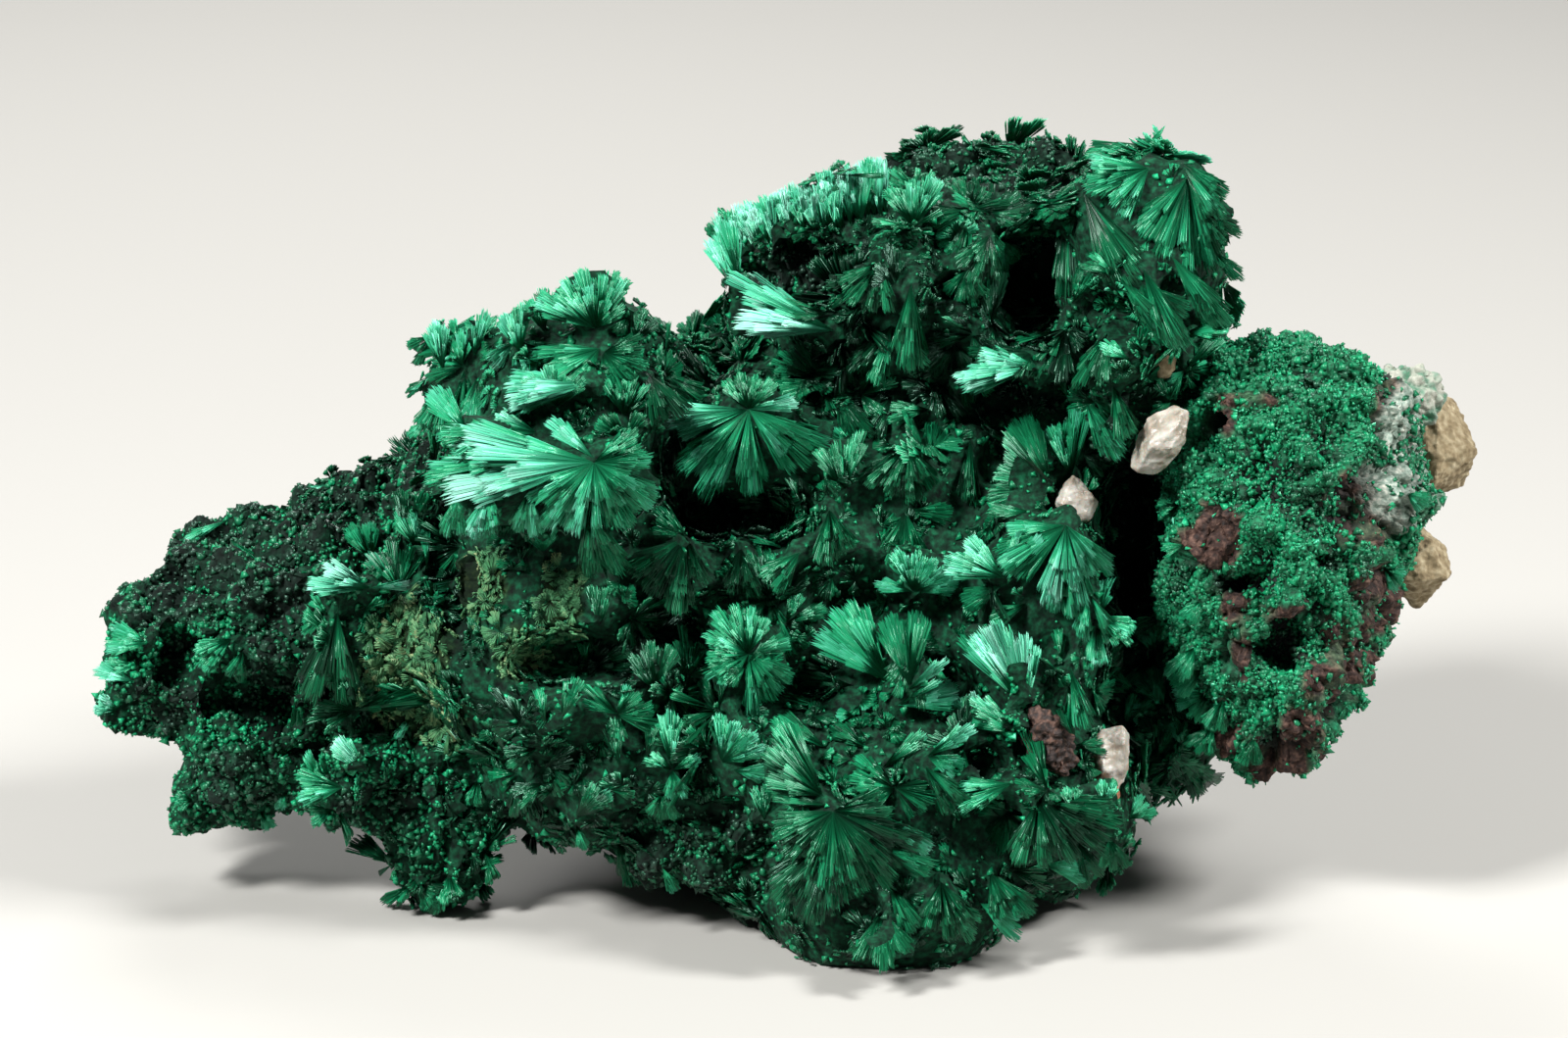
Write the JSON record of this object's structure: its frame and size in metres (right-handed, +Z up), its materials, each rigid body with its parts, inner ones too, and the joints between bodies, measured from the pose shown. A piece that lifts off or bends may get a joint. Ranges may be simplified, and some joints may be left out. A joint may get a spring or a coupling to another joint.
{
  "type": "fibrous malachite specimen",
  "caption": "Hand specimen of fibrous malachite: silky green needle fans on a knobbly mass, with a crusted limonite lobe and small stone grains, resting on a flat broken base.",
  "frame": {"origin": "in the flat broken face that the specimen rests on", "axes": "+X to the right along its longest side, seen from its best face; +Y away from the best face; +Z up, square to the base"},
  "size_m": [0.0728, 0.0419, 0.0387],
  "materials": {
    "malachite": "silky needle sprays over a granular green-black mass",
    "crusted_limonite": "sparkling fine green crystal crust with bare brown patches",
    "quartz": "cloudy, waxy, stained at the edges",
    "sandstone": "matte, sandy",
    "limonite": "dull, earthy, broken"
  },
  "bodies": {
    "root": {"malachite_mass": "malachite", "limonite_matrix": "crusted_limonite", "quartz_grain_upper": "quartz", "quartz_grain_middle": "quartz", "quartz_grain_lower": "quartz", "quartz_crust": "quartz", "sandstone_grain_small": "sandstone", "sandstone_pebble_upper": "sandstone", "sandstone_pebble_lower": "sandstone", "limonite_crumb": "limonite"}
  },
  "joints": []
}
